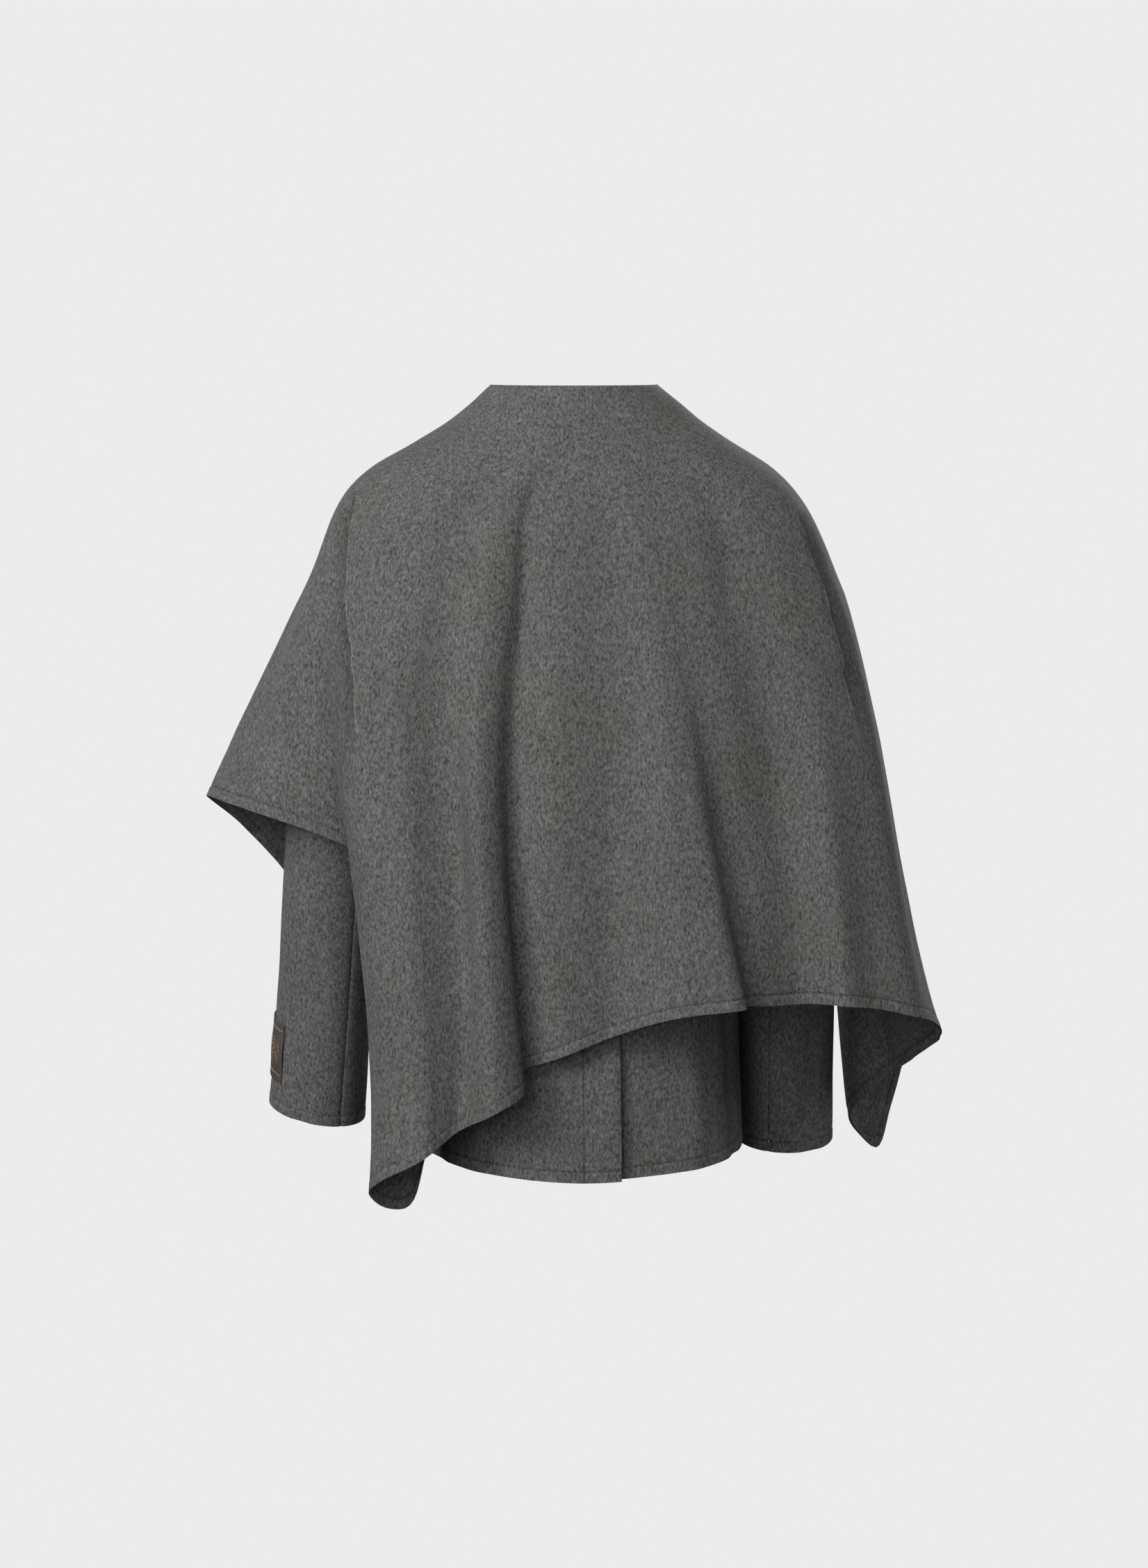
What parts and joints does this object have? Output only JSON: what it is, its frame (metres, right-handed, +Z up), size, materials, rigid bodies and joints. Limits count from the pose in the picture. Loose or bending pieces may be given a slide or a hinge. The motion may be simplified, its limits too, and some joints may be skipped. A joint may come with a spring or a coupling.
{
  "type": "wool cape coat",
  "caption": "Short collarless wool coat with two-piece sleeves, a back vent and a large uneven cape joined at its neckline, hollow as worn.",
  "frame": {"origin": "midway between the wearer's shoulders at the base of the neck, where the shoulders carry the coat; the neck edge is 31 mm above it", "axes": "+Z up, +X to the wearer's left, -Y out of the front; the centre back is on the +Y side"},
  "size_m": [0.728, 0.39, 0.7963],
  "materials": {
    "wool": "heathered dark grey melton wool, matt with a short nap",
    "patch": "dark grey-brown patch, matt",
    "button": "dark horn, satin"
  },
  "bodies": {
    "root": {"cape": "wool", "back_left": "wool", "back_right": "wool", "front_left": "wool", "front_right": "wool", "sleeve_left_upper": "wool", "sleeve_left_under": "wool", "sleeve_right_upper": "wool", "sleeve_right_under": "wool", "sleeve_patch": "patch", "button_1": "button", "button_2": "button", "button_3": "button", "button_4": "button"}
  },
  "joints": []
}
